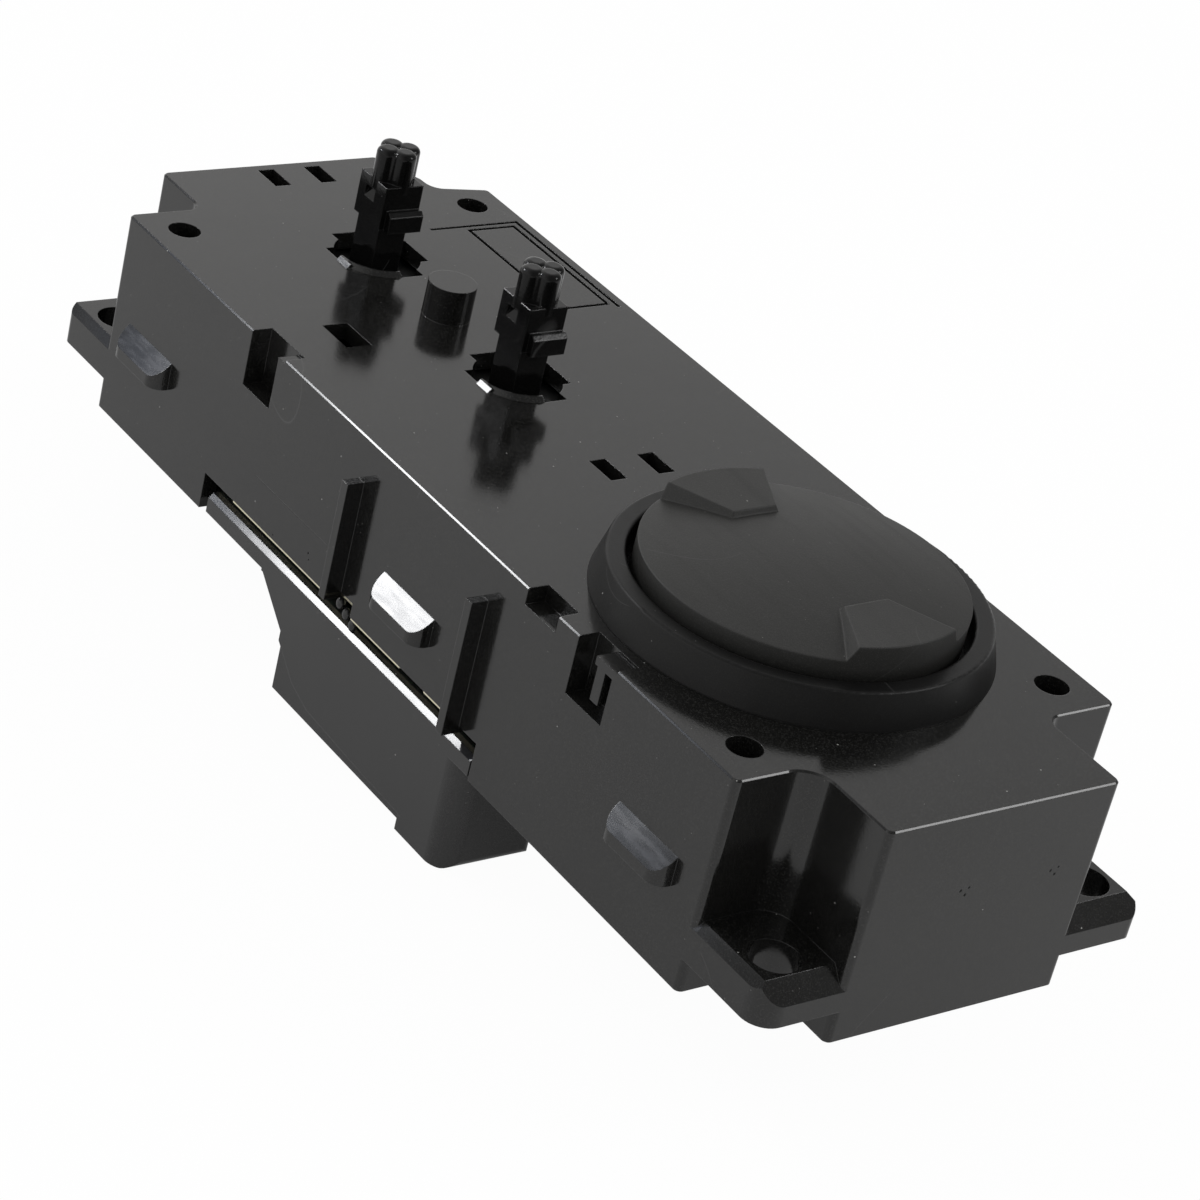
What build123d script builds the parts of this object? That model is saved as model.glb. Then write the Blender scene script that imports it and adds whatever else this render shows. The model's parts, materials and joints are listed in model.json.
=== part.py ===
from build123d import *
import os
from math import cos, radians, sin, tan

# Seat adjustment switch. Millimetres. X runs along the length towards the round knob, Y across it away from
# the front wall, Z up. The origin is the centre of the four fixing holes, on the underside of the ears.

# Housing
length = 148.0
width = 52.2
height = 26.2              # top face to lower rim
top_face = 22.3            # height of the top face over the ears' underside
wall = 2.0
plate = 2.2                # thickness of the top plate
notch_left = 10.0          # corner notches, along X
notch_right = 12.3
notch_depth = 10.2         # corner notches, along Y
notch_radius = 2.0
notch_radius_near = 3.4     # near right notch
far_notch = ((0.0, 10.4), (7.0, 7.6), (9.6, 7.4), (11.3, 0.0))         # back left: along X, along Y
corner_round = 0.8         # outer upright corners
edge_chamfer = 0.2         # edges of the top face
fit = 0.2                  # gap between a cover and the wall round it
seat_gap = 0.05            # gap of a plain located fit
tight = 0.01               # gap of a pressed pin or a screw's thread
root = 1.0                 # how far a feature reaches into the wall that carries it
bottom = top_face - height
front = -width / 2
back = width / 2
left_end = -length / 2
right_end = length / 2
ceiling = top_face - plate

# Ears
ear_thick = 5.0
ear_radius = 1.2
ear_radius_front_right = 3.0
ear_chamfer = 1.0
ear_end_chamfer = (1.9, 2.4)               # right-hand ears: along X, down
ear_inset_x = 5.0          # hole centre to the housing's end and side
ear_inset_y = 4.6
ear_hole = 2.9

# Holes, slots, post and grooves of the top plate
top_hole = 2.0
top_hole_depth = 12.0
top_hole_inset_x = 5.1     # hole centre to the notch and side
top_hole_inset_y = 4.9
boss_wall = 1.7
slot_length = 4.5
slot_width = 2.3
slot_depth = 6.0
slot_along = (3.65, 78.35)                 # from the left end
slot_columns = [left_end + along for along in slot_along]
slot_rows = (-1.65, 5.15)
wide_slot_along = 43.35    # from the left end
wide_slot_row = -15.2
wide_slot_length = 5.5
wide_slot_width = 3.4
post_radius = 3.0
post_height = 4.4
groove_width = 0.5
groove_depth = 0.5
groove_along = 20.35       # from the left end
groove_start = left_end + groove_along
groove_inset = 1.6         # from the back
groove_long = 23.0
groove_short = 12.9
frame_inset = (11.65, 4.5)                 # centre of the inner frame from the grooves' corner
frame_length = 21.2
frame_width = 6.8
groove_row = back - groove_inset
outer_groove = ((groove_start, groove_row - groove_short), (groove_start, groove_row),
                (groove_start + groove_long, groove_row))

# Lever units: where they stand and how far they tilt
row = 0.3                  # Y of all three lever axes
stem_along = (25.3, 56.8)  # from the left end
knob_back = 37.2           # from the right end
stem_x = [left_end + along for along in stem_along]
knob_x = right_end - knob_back
stem_tilt = 6.0
knob_tilt = 2.8
pivot_depth = 5.0          # pivots under the top face

# Star holes round the stems, round where the bead runs
star_radius = 5.4
star_arm_x = 6.1
star_arm_y = 5.8
star_half_arm_x = 2.75
star_half_arm_y = 2.9
bead_width = 0.8           # raised bead, only on the side next to the front wall and the knob
bead_height = 0.55
bead_from = 0.3            # it starts this far from the lever's axis, along X and Y

# Front wall: latch slots, snap wedges, ribs and the cut-out over the base flange
slot_back = 2.65
slot_skin = 1.4
latch_along = 40.0         # left latch slot, from the left end
latch_length = 6.0
latch_from = left_end + latch_along
latch_slots = ((latch_from, latch_from + latch_length, 7.1), (knob_x - 12.6, knob_x - 6.8, 2.0),
               (knob_x - 3.0, knob_x + 3.5, 7.1))       # from X, to X, depth
relief_depth = 0.35
reliefs = ((latch_slots[0][1], latch_slots[0][1] + 1.4), (latch_slots[2][1], latch_slots[2][1] + 0.6))
tongue = (knob_x + 0.9, knob_x + 2.3, 5.4)              # from X, to X, depth
tongue_thick = 1.2
bridge_from = knob_x + 0.4
bridge_thick = 1.0
wedge_length = 10.5
wedge_out = 2.2
wedge_top = 12.6           # under the top face
wedge_height = 3.6
wedge_radius = 1.9
rib_thick = 1.2
rib_out = 2.2
rib_top = 5.2
rib_along = 66.05          # left rib, from the left end
rib_back = 56.3            # right rib, from the right end
rib_low = (5.9, 4.0)       # lower ends over the rim
ribs = ((left_end + rib_along, rib_low[0]), (right_end - rib_back, rib_low[1]))
cutout_along = 35.9        # its left end from the housing's
cutout_back = 52.2         # its right end from the housing's
cutout_from = left_end + cutout_along
cutout_to = right_end - cutout_back
cutout_rise = 4.8          # over the rim
rib_notch = (ribs[0][0] - 3.45, ribs[0][0] + 3.15, 6.6)                # from X, to X, top over the rim
wedge_along = 19.6         # left wedge, from the left end
wedge_back = 22.6          # right wedge, from the right end
wedge_places = (left_end + wedge_along, (ribs[0][0] + ribs[1][0]) / 2, right_end - wedge_back)

# Base cover
cover_thick = 2.0
flange_from = cutout_from + 1.5
flange_to = cutout_to - 0.3
flange_rise = 2.8          # flange top over the housing rim
flange_chamfer = 0.6
flange_lift = 0.3          # flange bottom over the housing rim

# Connector shroud and its terminals
shroud_to = flange_to - 1.0
shroud_length = 37.7
shroud_from = shroud_to - shroud_length
shroud_depth_y = 12.7
shroud_drop = 13.6         # under the rim
shroud_bottom = bottom - shroud_drop
shroud_wall = 1.8
shroud_radius = 1.2
shroud_corner = 3.0
shroud_roof = 1.6
gusset_length = 6.1
gusset_from = shroud_from - gusset_length
gusset_drop = 5.0
step_length = 28.5
step_up = 1.0
step_back = 0.45
step_curve = ((-0.2, 7.8), (4.2, 4.2), (8.0, 2.9), (19.4, 2.3), (step_length, 2.1))    # from the left, up
terminal_side = 0.64
terminal_rows = (5.0, 8.6)
terminal_count = 8
terminal_pitch = 4.0
terminal_reach = 6.0

# Circuit board and what stands on it
board_rise = 5.5           # board top over the housing rim
board_top = height - board_rise            # under the top face
board_thick = 1.6
board_end_gap = 0.7        # to the walls of the corner notches
board_side_gap = 0.6       # to the long walls
terminal_stub = 1.0        # how far the terminals stand over the board
chip_side = 9.0
chip_height = 1.4
parts_x = (stem_x[1] + knob_x) / 2         # board parts stand between two lever units
chip_y = 4.0
cap_radius = 2.5
cap_height = 6.0
cap_apart = 3.5            # each capacitor from the middle of the two
cap_y = -8.0
support_radius = 2.0
support_inset = 2.8        # board supports stand this far inside the carriers' corners

# Screws of the base cover
screw_inset_x = 7.0        # screw axis to the housing's end
screw_inset_y = 6.3        # screw axis to the corner notch
screw_y = width / 2 - notch_depth - screw_inset_y
screw_radius = 1.25
screw_head = 2.6
screw_head_height = 1.7
cross_length = 1.6         # half of the cross recess
cross_width = 0.4
cross_depth = 0.8
screw_length = 9.0
pillar_radius = 3.0
counterbore = 2.9
counterbore_depth = 1.8
screw_pad = 3.6

# Carriers, gimbals and levers, the same in all three units; depths are under the top face
carrier_x = 13.4           # half sizes
carrier_y = 14.5
carrier_wall = 1.5
shelf_thick = 1.2
shelf_gap = 0.3            # shelf over the upper slider
shelf_hole = 3.6
gimbal_x = 7.6
gimbal_y = 6.8
gimbal_half = 1.8
gimbal_inside_x = 5.0
gimbal_inside_y = 4.3
trunnion = 1.1
trunnion_end = 0.2         # trunnion ends stay this far inside the carrier
run = 0.05                 # running fit, radial
pin = 1.0
hub_x = 3.5
hub_y = 4.1
hub_top = 3.2
hub_bottom = 8.4
spring_flange = 5.2
spring_flange_thick = 1.0
arm = 1.4
arm_gap = 0.5              # arm end over the board
arm_end = board_top - arm_gap
spring_radius = 4.4
spring_wire = 0.25
spring_turns = 4
slider_thick = 2.0
slider_lift = 0.1          # sliders over the board and over each other
slider_y_top = board_top - slider_lift - slider_thick
slider_x_top = slider_y_top - slider_lift - slider_thick
shelf_top = slider_x_top - shelf_gap - shelf_thick
slider_half = 7.0
slider_gap = 0.2
foot_width = 2.6
arm_play = 0.2
contact_thick = 0.35
contact_in = 0.3
contact_length = 8.0
contact_width = 1.4
contact_offset = 7.2       # cross slider's strips from its middle
contact_play = 0.02

# Lever stems above the top face
tip_height = 14.6
tip_valley = 0.5           # the core stays this far under the lobes' tops
lobe_radius = 1.45
lobe_out = 1.43
core_radius = 2.3
lobe_round = 0.75
collar = (-2.9, 2.8, -2.7, 2.65)           # from X, to X, from Y, to Y
collar_bottom = 5.0
collar_top = 10.5
step_block = (-1.2, 3.85, -2.0, 2.75)
step_bottom = 4.8
step_top = 7.4
step_chamfer = 0.5
neck = (-1.8, 2.9, -2.7, 1.3)
ramp = (-1.4, 0.6, 7.7, 9.2, 0.8)          # from X, to X, from Z, to Z, depth

# Knob, bezel ring
ring_radius = 22.6
ring_top_radius = 21.4
ring_inner = 19.2
ring_height = 4.2
ring_edge = 0.35
peg_radius = 1.0
peg_circle = 20.9
knob_radius = 18.4
knob_rim = 6.0
knob_crown = 7.6
knob_bottom = 1.7
knob_shell = 1.8
pad_from = 9.9
pad_half = 2.95
pad_flare = 27.0
pad_slope = 30.0           # of the pads' side walls
pad_top = 7.75
knob_neck = 3.2
knob_socket = 4.8
knob_neck_top = 4.6
knob_hole = 5.6


def block(x0, x1, y0, y1, z0, z1):
    size = Box(x1 - x0, y1 - y0, z1 - z0)
    return Pos((x0 + x1) / 2, (y0 + y1) / 2, (z0 + z1) / 2) * size


def tube(radius, x, y, z0, z1):
    return Pos(x, y, (z0 + z1) / 2) * Cylinder(radius, z1 - z0)


def slab(x, y, half_x, half_y, z0, z1):
    """A block centred on X and Y."""
    return block(x - half_x, x + half_x, y - half_y, y + half_y, z0, z1)


def bar_y(radius, x, half, z):
    """A round bar along Y, centred on a lever axis."""
    return Pos(x, row, z) * Rot(90, 0, 0) * Cylinder(radius, 2 * half)


def across(radius, x0, x1, y, z):
    """A round bar along X."""
    return Pos((x0 + x1) / 2, y, z) * Rot(0, 90, 0) * Cylinder(radius, x1 - x0)


def prism_x(corners, x0, x1):
    """A bar along X with its (Y, Z) section given by corners."""
    section = Plane.YZ * Polygon(*corners, align=None)
    return Pos(x0, 0, 0) * extrude(section, x1 - x0, dir=(1, 0, 0))


def prism_y(corners, y0, y1):
    """A bar along Y with its (X, Z) section given by corners."""
    section = Plane.XZ * Polygon(*corners, align=None)
    return Pos(0, y0, 0) * extrude(section, y1 - y0, dir=(0, 1, 0))


def save(shape, name):
    export_step(shape, f"parts/{name}.step")


def group(solids):
    return Compound(children=list(solids))


def corner_signs():
    return [(sx, sy) for sx in (-1, 1) for sy in (-1, 1)]


def notch(sx):
    return notch_left if sx < 0 else notch_right


def screw_places():
    return [(sx * (length / 2 - screw_inset_x), row + sy * screw_y) for sx, sy in corner_signs()]


# Housing plan: a rectangle less its corner notches, drawn a given inset inside the outer wall
def housing_plan(inset):
    plan = Rectangle(length - 2 * inset, width - 2 * inset)
    for sx, sy in corner_signs():
        if sx < 0 < sy:
            corners = [(left_end + along, back - deep) for along, deep in far_notch]
            shape = Polygon((left_end - root, corners[0][1]), *corners, (corners[-1][0], back + root),
                            (left_end - root, back + root), align=None)
            plan -= offset(shape, inset, kind=Kind.INTERSECTION) if inset else shape
        else:
            along, deep = notch(sx) + inset, notch_depth + inset
            plan -= Pos(sx * (length / 2 - along / 2), sy * (width / 2 - deep / 2)) * Rectangle(along, deep)
    inner = [v for v in plan.vertices()
             if abs(v.X) < length / 2 - inset - 1 and abs(v.Y) < width / 2 - inset - 1]
    inner = [v for v in inner if v.X > 0 or v.Y < 0 or v.X > left_end + far_notch[1][0] + inset + root]
    near_right = [v for v in inner if v.X > 0 > v.Y]
    plan = fillet([v for v in inner if v not in near_right], notch_radius + inset)
    for corner in near_right:
        plan = fillet(plan.vertices().sort_by_distance(corner)[0], notch_radius_near + inset)
    if inset > corner_round:
        return plan
    outer = [v for v in plan.vertices() if abs(v.X) > length / 2 - 0.01 or abs(v.Y) > width / 2 - 0.01]
    return fillet(outer, corner_round)


def ear(sx, sy):
    outer_x = length / 2
    inner_x = outer_x - notch(sx) - root
    inner_y = width / 2 - notch_depth - root
    xs = sorted((sx * inner_x, sx * outer_x))
    ys = sorted((sy * inner_y, sy * width / 2))
    body = block(xs[0], xs[1], ys[0], ys[1], 0, ear_thick)
    long_edge = [e for e in body.edges().filter_by(Axis.X)
                 if abs(e.center().Y) > width / 2 - 0.1 and e.center().Z > ear_thick - 0.1]
    body = chamfer(long_edge, ear_chamfer)
    if sx > 0:
        along, down = ear_end_chamfer
        body -= prism_y([(outer_x - along, ear_thick), (outer_x + 1, ear_thick),
                         (outer_x + 1, ear_thick - down), (outer_x, ear_thick - down)], -width, width)
    radius = ear_radius_front_right if sx > 0 > sy else ear_radius
    corner = block(*sorted((sx * (outer_x - radius), sx * (outer_x + 1))),
                   *sorted((sy * (width / 2 - radius), sy * (width / 2 + 1))), -1, ear_thick + 1)
    corner -= tube(radius, sx * (outer_x - radius), sy * (width / 2 - radius), -2, ear_thick + 2)
    body -= corner
    x, y = sx * (length / 2 - ear_inset_x), sy * (width / 2 - ear_inset_y)
    return body - tube(ear_hole, x, y, -1, ear_thick + 1)


# A snap wedge on the front wall
def wedge(x):
    half = wedge_length / 2
    plan = Pos(x, front - wedge_out / 2) * Rectangle(wedge_length, wedge_out)
    corners = [v for v in plan.vertices() if v.Y < front - wedge_out / 2]
    plan = fillet(corners, wedge_radius)
    low = top_face - wedge_top - wedge_height
    body = Pos(0, 0, low) * extrude(plan, wedge_height)
    high = top_face - wedge_top
    far_out = 2 * wedge_out
    body -= prism_x([(front, high), (front - far_out, high), (front - far_out, high - far_out)],
                    x - half - 1, x + half + 1)
    return body + block(x - half, x + half, front, front + root, low, high)


def star(z0, z1, x):
    arms = Rectangle(2 * star_half_arm_x, 2 * star_arm_y) + Rectangle(2 * star_arm_x, 2 * star_half_arm_y)
    arms -= Pos(bead_from + star_arm_x, -bead_from - star_arm_y) * Rectangle(2 * star_arm_x, 2 * star_arm_y)
    return Pos(x, row, z0) * extrude(arms + Circle(star_radius), z1 - z0)


def groove_line(a, b):
    run_x, run_y = abs(b[0] - a[0]), abs(b[1] - a[1])
    centre = Pos((a[0] + b[0]) / 2, (a[1] + b[1]) / 2, top_face)
    return centre * Box(run_x + groove_width, run_y + groove_width, 2 * groove_depth)


def housing():
    body = extrude(housing_plan(0), -height)
    body = Pos(0, 0, top_face) * body
    body = chamfer(body.faces().sort_by(Axis.Z)[-1].edges(), edge_chamfer)
    body -= Pos(0, 0, bottom) * extrude(housing_plan(wall), height - plate)
    for sx, sy in corner_signs():
        body += ear(sx, sy)
        x = sx * (length / 2 - notch(sx) - top_hole_inset_x)
        y = sy * (width / 2 - top_hole_inset_y)
        body += tube(top_hole + boss_wall, x, y, top_face - top_hole_depth, ceiling)
        body -= tube(top_hole, x, y, top_face - top_hole_depth + wall, top_face + 1)
    for x, y in screw_places():
        body += tube(pillar_radius, x, y, bottom + screw_pad, ceiling)
        body -= tube(screw_radius + tight, x, y, bottom, bottom + screw_pad + screw_length)
    body = body - front_cuts() + front_features()
    body = body - latch_cuts() + latch_bridge()
    return body + top_features() - top_cuts()


def front_cuts():
    inside = front + wall + fit
    cuts = block(cutout_from, cutout_to, front - root, inside, bottom - 1, bottom + cutout_rise)
    return cuts + block(rib_notch[0], rib_notch[1], front - root, inside, bottom, bottom + rib_notch[2])


def front_features():
    clips = [wedge(x) for x in wedge_places]
    clips += [mirror(clip, Plane.XZ) for clip in clips]
    bars = [slab(x, front, rib_thick / 2, root, bottom + low, top_face - rib_top) for x, low in ribs]
    bars += [slab(x, front - rib_out / 2, rib_thick / 2, rib_out / 2, bottom + low, top_face - rib_top)
             for x, low in ribs]
    pockets = [block(x0 - slot_skin, x1 + slot_skin, front + root, front + slot_back + slot_skin,
                     top_face - depth - slot_skin, ceiling + root) for x0, x1, depth in latch_slots]
    return clips + bars + pockets


def latch_cuts():
    cuts = [block(x0, x1, front - root, front + slot_back, top_face - depth, top_face + 1)
            for x0, x1, depth in latch_slots]
    return cuts + [block(x0, x1, front - root, front + slot_back, top_face - relief_depth, top_face + 1)
                   for x0, x1 in reliefs]


def latch_bridge():
    high = top_face - relief_depth
    bar = block(bridge_from, latch_slots[2][1] + fit, front, front + slot_back + fit,
                high - bridge_thick, high)
    return bar + block(tongue[0], tongue[1], front, front + tongue_thick, top_face - tongue[2], high)


def top_features():
    parts = [tube(post_radius, sum(stem_x) / 2, row, ceiling, top_face + post_height)]
    for x in stem_x:
        bead_radius = star_radius + bead_width
        bead = Cone(bead_radius, bead_radius - bead_height, bead_height)
        bead = Pos(x, row, top_face + bead_height / 2) * bead
        parts.append(bead & block(x + bead_from, x + bead_radius, row - bead_radius, row - bead_from,
                                  top_face, top_face + bead_height))
        foot, crest = row - bead_radius, top_face + bead_height
        lip = [(foot, top_face), (foot + bead_height, crest), (row - star_radius, crest),
               (row - star_radius, top_face)]
        parts.append(prism_x(lip, x + bead_from, x + star_half_arm_x))
    return parts


def top_cuts():
    over = top_face + post_height
    cuts = [star(ceiling - root, over, x) for x in stem_x]
    cuts.append(tube(knob_hole, knob_x, row, ceiling - root, over))
    cuts += [slab(x, y, slot_length / 2, slot_width / 2, top_face - slot_depth, over)
             for x in slot_columns for y in slot_rows]
    cuts.append(slab(left_end + wide_slot_along, wide_slot_row, wide_slot_length / 2, wide_slot_width / 2,
                     top_face - slot_depth, over))
    cuts += [tube(peg_radius + seat_gap, x, y, ceiling - root, over) for x, y in peg_places()]
    x, y = groove_start + frame_inset[0], groove_row - frame_inset[1]
    corners = [(x + sx * frame_length / 2, y + sy * frame_width / 2)
               for sx, sy in ((-1, -1), (-1, 1), (1, 1), (1, -1), (-1, -1))]
    for line in (outer_groove, corners):
        cuts += [groove_line(a, b) for a, b in zip(line, line[1:])]
    return cuts


def peg_places():
    angles = [radians(45 + 90 * n) for n in range(4)]
    return [(knob_x + peg_circle * cos(a), row + peg_circle * sin(a)) for a in angles]


def base_cover():
    body = Pos(0, 0, bottom) * extrude(housing_plan(wall + fit), cover_thick)
    body += block(flange_from, flange_to, front + seat_gap, front + wall + fit + root,
                  bottom + flange_lift, bottom + flange_rise)
    edge_y, edge_z = front + seat_gap, bottom + flange_rise
    over = flange_chamfer + 1
    body -= prism_x([(edge_y - 1, edge_z - over), (edge_y - 1, edge_z + 1), (edge_y + over, edge_z + 1)],
                    flange_from - 1, flange_to + 1)
    for x, y in screw_places():
        body += tube(pillar_radius, x, y, bottom, bottom + screw_pad)
        body -= tube(counterbore, x, y, bottom - 1, bottom + counterbore_depth)
        body -= tube(screw_radius + fit, x, y, bottom, bottom + screw_pad + 1)
    under_board = top_face - board_top - board_thick
    for x in (*stem_x, knob_x):
        for sx, sy in corner_signs():
            support_x = x + sx * (carrier_x - support_inset)
            support_y = row + sy * (carrier_y - support_inset)
            body += tube(support_radius, support_x, support_y, bottom + root, under_board)
    body += shroud()
    hole = terminal_side / 2 + seat_gap
    for x, y in terminal_places():
        body -= slab(x, y, hole, hole, bottom - cover_thick, bottom + cover_thick + root)
    return body


def shroud():
    face_y = front + seat_gap
    back_y = face_y + shroud_depth_y
    profile = Polygon((gusset_from, bottom + flange_lift), (shroud_from, bottom + flange_lift - gusset_drop),
                      (shroud_from, shroud_bottom), (shroud_to, shroud_bottom),
                      (shroud_to, bottom + flange_lift), align=None)
    low = [v for v in profile.vertices() if v.Y < shroud_bottom + 0.1]
    profile = fillet(low, shroud_radius)
    body = Pos(0, face_y, 0) * extrude(Plane.XZ * profile, shroud_depth_y, dir=(0, 1, 0))
    plan = Pos((gusset_from + shroud_to) / 2, (face_y + back_y) / 2)
    plan *= Rectangle(shroud_to - gusset_from, shroud_depth_y)
    near_right = [v for v in plan.vertices() if v.X > 0 and v.Y < face_y + 0.1]
    plan = fillet(near_right, shroud_corner)
    plan = fillet([v for v in plan.vertices() if v.X > shroud_to - 0.1 and v.Y > back_y - 0.1], shroud_radius)
    body &= Pos(0, 0, shroud_bottom - 1) * extrude(plan, bottom - shroud_bottom + 2)
    body += block(gusset_from, shroud_to - shroud_corner, face_y, back_y, bottom, bottom + cover_thick)
    # the left part of the front stands back a little and ends a little higher
    step_to = shroud_from + step_length
    body -= block(shroud_from - 1, step_to, face_y - 1, back_y + 1,
                  shroud_bottom - 1, shroud_bottom + step_up)
    curve = [(shroud_from + along, shroud_bottom + up) for along, up in step_curve]
    body -= prism_y([*curve, (step_to, shroud_bottom - 1), (shroud_from - 1, shroud_bottom - 1),
                     (shroud_from - 1, curve[0][1])], face_y - 1, face_y + step_back)
    mouth_x0, mouth_x1 = shroud_from + shroud_wall, shroud_to - shroud_wall
    mouth_y0, mouth_y1 = face_y + shroud_wall, back_y - shroud_wall
    roof = bottom + cover_thick - shroud_roof
    return body - block(mouth_x0, mouth_x1, mouth_y0, mouth_y1, shroud_bottom - 1, roof)


def terminal_places():
    middle = (shroud_from + shroud_to) / 2
    return [(middle + (n - (terminal_count - 1) / 2) * terminal_pitch, front + y)
            for n in range(terminal_count) for y in terminal_rows]


def terminals():
    half = terminal_side / 2
    low = bottom + cover_thick - shroud_roof - terminal_reach
    high = top_face - board_top + terminal_stub
    return group(slab(x, y, half, half, low, high) for x, y in terminal_places())


def circuit_board():
    z1 = top_face - board_top
    x0 = left_end + far_notch[-1][0] + wall + board_end_gap
    x1 = right_end - notch_right - wall - board_end_gap
    y1 = width / 2 - wall - board_side_gap
    body = block(x0, x1, -y1, y1, z1 - board_thick, z1)
    hole = terminal_side / 2 + seat_gap
    return body - [slab(x, y, hole, hole, z1 - 2 * board_thick, z1 + 1) for x, y in terminal_places()]


def board_parts():
    z = top_face - board_top
    chip = slab(parts_x, chip_y, chip_side / 2, chip_side / 2, z, z + chip_height)
    places = (parts_x - cap_apart, parts_x + cap_apart)
    return group([chip] + [tube(cap_radius, x, cap_y, z, z + cap_height) for x in places])


def cover_screws():
    seat = bottom + counterbore_depth
    low = seat - screw_head_height
    screws = []
    for x, y in screw_places():
        screw = tube(screw_head, x, y, low, seat) + tube(screw_radius, x, y, seat, seat + screw_length)
        screw -= slab(x, y, cross_length, cross_width, low, low + cross_depth)
        screws.append(screw - slab(x, y, cross_width, cross_length, low, low + cross_depth))
    return group(screws)


# One lever unit at a given X
def carrier(x):
    z0, z1 = top_face - board_top, ceiling
    inner_x, inner_y = carrier_x - carrier_wall, carrier_y - carrier_wall
    body = slab(x, row, carrier_x, carrier_y, z0, z1) - slab(x, row, inner_x, inner_y, z0 - 1, z1 + 1)
    shelf = slab(x, row, carrier_x, carrier_y, top_face - shelf_top - shelf_thick, top_face - shelf_top)
    body += shelf - tube(shelf_hole, x, row, 0, top_face)
    return body - across(trunnion + run, x - carrier_x - 1, x + carrier_x + 1, row, top_face - pivot_depth)


def gimbal(x):
    z = top_face - pivot_depth
    body = slab(x, row, gimbal_x, gimbal_y, z - gimbal_half, z + gimbal_half)
    end = carrier_x - trunnion_end
    body += across(trunnion, x - end, x + end, row, z)
    body -= slab(x, row, gimbal_inside_x, gimbal_inside_y, z - gimbal_half - 1, z + gimbal_half + 1)
    return body - bar_y(pin + tight, x, gimbal_y + 1, z)


def pivot_pin(x):
    return bar_y(pin, x, gimbal_y, top_face - pivot_depth)


def lever_foot(x):
    body = slab(x, row, hub_x, hub_y, top_face - hub_bottom, top_face - hub_top)
    body += tube(spring_flange, x, row, top_face - hub_bottom - spring_flange_thick, top_face - hub_bottom)
    body += tube(arm, x, row, top_face - arm_end, top_face - hub_bottom)
    return body - bar_y(pin + run, x, hub_y + 1, top_face - pivot_depth)


def boxed(x, sides, z0, z1):
    return block(x + sides[0], x + sides[1], row + sides[2], row + sides[3], z0, z1)


def stem(x):
    shaft = tube(core_radius, x, row, top_face + collar_top - root, top_face + tip_height - tip_valley)
    for dx, dy in ((1, 0), (-1, 0), (0, 1), (0, -1)):
        lobe = tube(lobe_radius, x + dx * lobe_out, row + dy * lobe_out,
                    top_face + collar_top - root, top_face + tip_height)
        shaft += fillet(lobe.edges().sort_by(Axis.Z)[-1], lobe_round)
    upper = boxed(x, collar, top_face + collar_bottom, top_face + collar_top)
    ramp_from, ramp_to, low, high, deep = ramp
    near_face = row + collar[2]
    upper -= prism_x([(near_face - 1, top_face + low), (near_face, top_face + low),
                      (near_face + deep, top_face + high), (near_face - 1, top_face + high)],
                     x + ramp_from, x + ramp_to)
    lower = boxed(x, step_block, top_face + step_bottom, top_face + step_top)
    side = lower.faces().sort_by(Axis.X)[-1]
    lower = chamfer(side.edges().sort_by(Axis.Z)[-1], step_chamfer)
    middle = boxed(x, neck, top_face - hub_top, top_face + collar_bottom)
    return shaft + upper + lower + middle + lever_foot(x)


def knob_lever():
    return lever_foot(knob_x) + tube(knob_neck, knob_x, row, top_face - hub_top, top_face + knob_neck_top)


def reach(depth, tilt):
    return (depth - pivot_depth) * tan(radians(tilt))


def slider_x(x, tilt):
    z1 = top_face - slider_x_top
    z0 = top_face - board_top + slider_lift
    half_y = carrier_y - carrier_wall - slider_gap
    body = slab(x, row, slider_half, half_y, z1 - slider_thick, z1)
    for y in foot_rows():
        body += slab(x, y, slider_half, foot_width / 2, z0, z1)
        body -= contact_pocket(x, y, z0)
    gate = arm + arm_play
    long_half = gate + reach(slider_x_top + slider_thick, tilt) + arm_play
    return body - slab(x, row, gate, long_half, z1 - slider_thick - 1, z1 + 1)


def slider_y(x, tilt):
    z1 = top_face - slider_y_top
    z0 = top_face - board_top + slider_lift
    half_x = carrier_x - carrier_wall - slider_gap
    body = slab(x, row, half_x, slider_half, z0, z1)
    for sx in (-1, 1):
        body -= contact_pocket(x + sx * contact_offset, row, z0)
    gate = arm + arm_play
    long_half = gate + reach(board_top, tilt) + arm_play
    return body - slab(x, row, long_half, gate, z0 - 1, z1 + 1)


def foot_rows():
    middle = carrier_y - carrier_wall - slider_gap - foot_width / 2
    return (row - middle, row + middle)


def contact_pocket(x, y, z0):
    half_long, half_wide = contact_length / 2 + contact_play, contact_width / 2 + contact_play
    return slab(x, y, half_long, half_wide, z0 - contact_thick, z0 + contact_in)


def contact_strip(x, y):
    high = top_face - board_top + slider_lift + contact_in
    return slab(x, y, contact_length / 2, contact_width / 2, high - contact_thick, high)


def contacts_x(x):
    return group(contact_strip(x, y) for y in foot_rows())


def contacts_y(x):
    return group(contact_strip(x + sx * contact_offset, row) for sx in (-1, 1))


def return_spring(x):
    low = top_face - shelf_top + spring_wire + seat_gap
    high = top_face - hub_bottom - spring_flange_thick - spring_wire - seat_gap
    path = Helix(pitch=(high - low) / spring_turns, height=high - low, radius=spring_radius)
    profile = Plane(origin=path @ 0, z_dir=path % 0) * Circle(spring_wire)
    return Pos(x, row, low) * sweep(profile, path=path, is_frenet=True)


def bezel_ring():
    profile = Polygon((ring_inner, 0), (ring_radius, 0), (ring_top_radius, ring_height),
                      (ring_inner, ring_height), align=None)
    tops = [v for v in profile.vertices() if v.Y > ring_height - 0.1]
    profile = fillet(tops, ring_edge)
    body = Pos(knob_x, row, top_face) * revolve(Plane.XZ * profile, Axis.Z)
    return body + [tube(peg_radius, x, y, ceiling, top_face + root) for x, y in peg_places()]


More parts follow.
